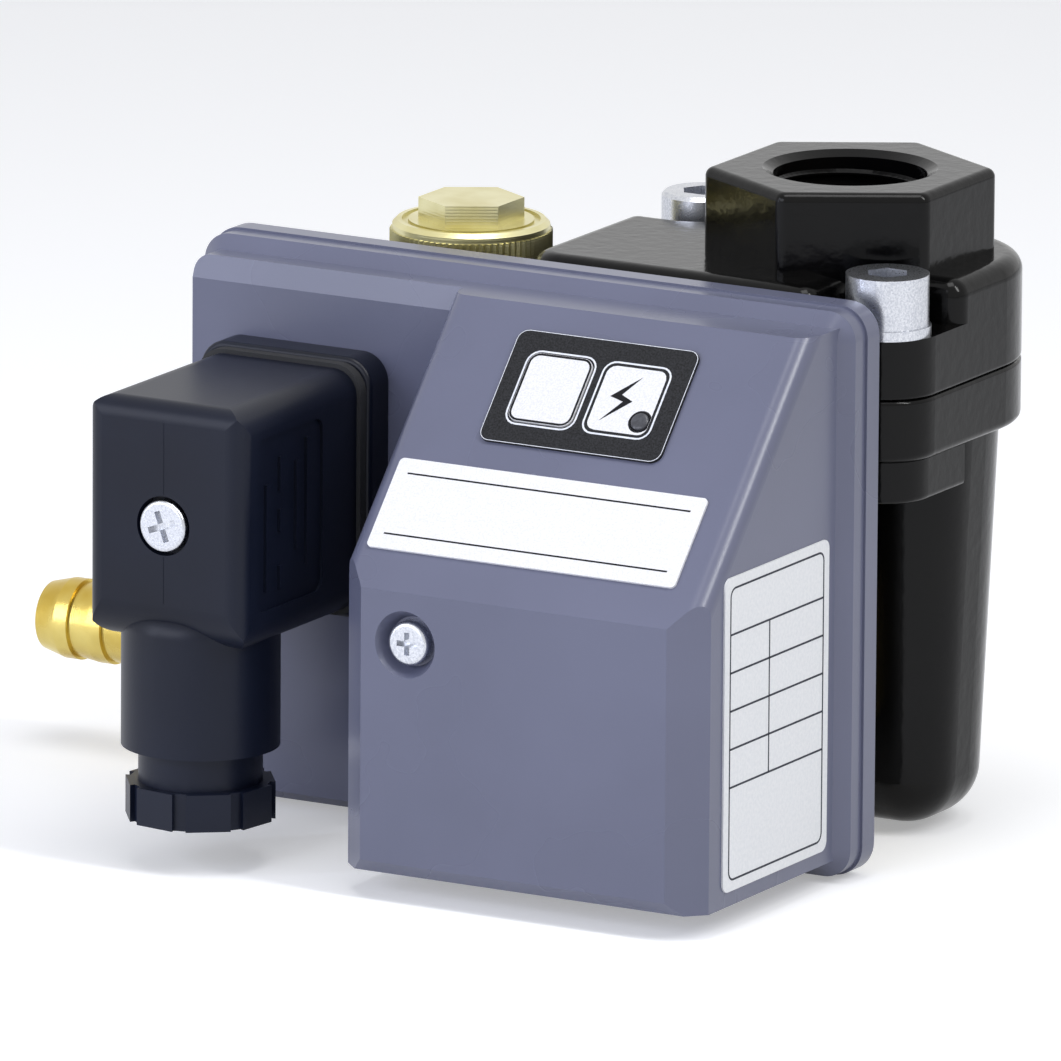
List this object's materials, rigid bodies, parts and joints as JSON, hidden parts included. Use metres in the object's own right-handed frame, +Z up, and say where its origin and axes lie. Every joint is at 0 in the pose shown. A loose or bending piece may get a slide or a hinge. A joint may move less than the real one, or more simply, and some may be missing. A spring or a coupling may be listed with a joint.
{
  "type": "automatic condensate drain valve",
  "caption": "Level-controlled condensate drain valve: threaded hexagon inlet on a cast bowl, moulded control cover with keys, brass strainer block, hose barb and rewireable plug.",
  "frame": {"origin": "centre of the threaded inlet's mouth, in the plane of its top face", "axes": "+Z up along the inlet thread, -Y towards the cover and its keys, +X to the right along the cover, away from the hose barb"},
  "size_m": [0.1584, 0.1125, 0.1039],
  "materials": {
    "casting": "gloss",
    "cover_grey": "satin",
    "plug_black": "matte",
    "zinc_steel": "zinc plated",
    "brass": "machined",
    "black_rubber": "matte",
    "spring_steel": "drawn wire",
    "coil_resin": "moulded",
    "board_green": "lacquered",
    "lens_grey": "clear",
    "key_grey": "satin",
    "film_dark": "printed film",
    "badge_silver": "brushed",
    "label_white": "printed film",
    "float_nylon": "moulded",
    "magnet": "sintered"
  },
  "bodies": {
    "unit": {"armature_tube": "zinc_steel", "badge_plate": "badge_silver", "barb_seal": "black_rubber", "base_plate": "zinc_steel", "block_screws": "zinc_steel", "board_screws": "zinc_steel", "bowl_casting": "casting", "bowl_gasket": "black_rubber", "circuit_board": "board_green", "coil_nut": "zinc_steel", "coil_yoke": "zinc_steel", "cover_gasket": "black_rubber", "cover_screw": "zinc_steel", "cover_shell": "cover_grey", "cover_spacer": "zinc_steel", "fixed_core": "zinc_steel", "gland_ring": "zinc_steel", "gland_seal": "black_rubber", "guide_rod": "zinc_steel", "head_casting": "casting", "head_screws": "zinc_steel", "head_washers": "zinc_steel", "hose_barb": "brass", "level_sensor": "coil_resin", "membrane_panel": "film_dark", "plate_screws": "zinc_steel", "plug_contacts": "brass", "plug_gasket": "black_rubber", "plug_housing": "plug_black", "plug_insert": "plug_black", "plunger_spring": "spring_steel", "port_seal": "black_rubber", "rating_label": "label_white", "socket_base": "plug_black", "socket_pins": "brass", "solenoid_coil": "coil_resin", "status_led": "lens_grey", "strainer": "zinc_steel", "test_switch": "coil_resin", "tube_seal": "black_rubber", "valve_block": "brass", "valve_seat": "brass"},
    "float": {"level_float": "float_nylon", "float_magnet": "magnet"},
    "plunger_set": {"plunger": "zinc_steel", "plunger_seal": "black_rubber"},
    "cap": {"knurled_cap": "brass", "cap_o_ring": "black_rubber"},
    "test_key": {"test_button": "key_grey"},
    "gland_nut": {"gland_nut": "plug_black"},
    "plug_screw": {"plug_screw": "zinc_steel"}
  },
  "joints": [
    {"name": "float_rise", "type": "slide", "parent": "unit", "child": "float", "axis": [0, 0, 1], "range_m": [0, 0.026]},
    {"name": "plunger_lift", "type": "slide", "parent": "unit", "child": "plunger_set", "axis": [0, -1, 0], "range_m": [0, 0.0024], "stiffness_N_per_m": 400, "springref_m": -0.002, "deforming": ["plunger_spring"]},
    {"name": "cap_turn", "type": "hinge", "parent": "unit", "child": "cap", "pos_m": [-0.0599, -0.014, -0.0259], "axis": [0, 0, 1], "continuous": true},
    {"name": "key_press", "type": "slide", "parent": "unit", "child": "test_key", "axis": [0, 0.7395, -0.6731], "range_m": [0, 0.0006], "stiffness_N_per_m": 1500, "springref_m": -0.0002},
    {"name": "gland_turn", "type": "hinge", "parent": "unit", "child": "gland_nut", "pos_m": [-0.0723, -0.0761, -0.0989], "axis": [0, 0, 1], "continuous": true},
    {"name": "plug_screw_turn", "type": "hinge", "parent": "unit", "child": "plug_screw", "pos_m": [-0.0723, -0.0877, -0.0486], "axis": [0, 1, 0], "continuous": true}
  ]
}
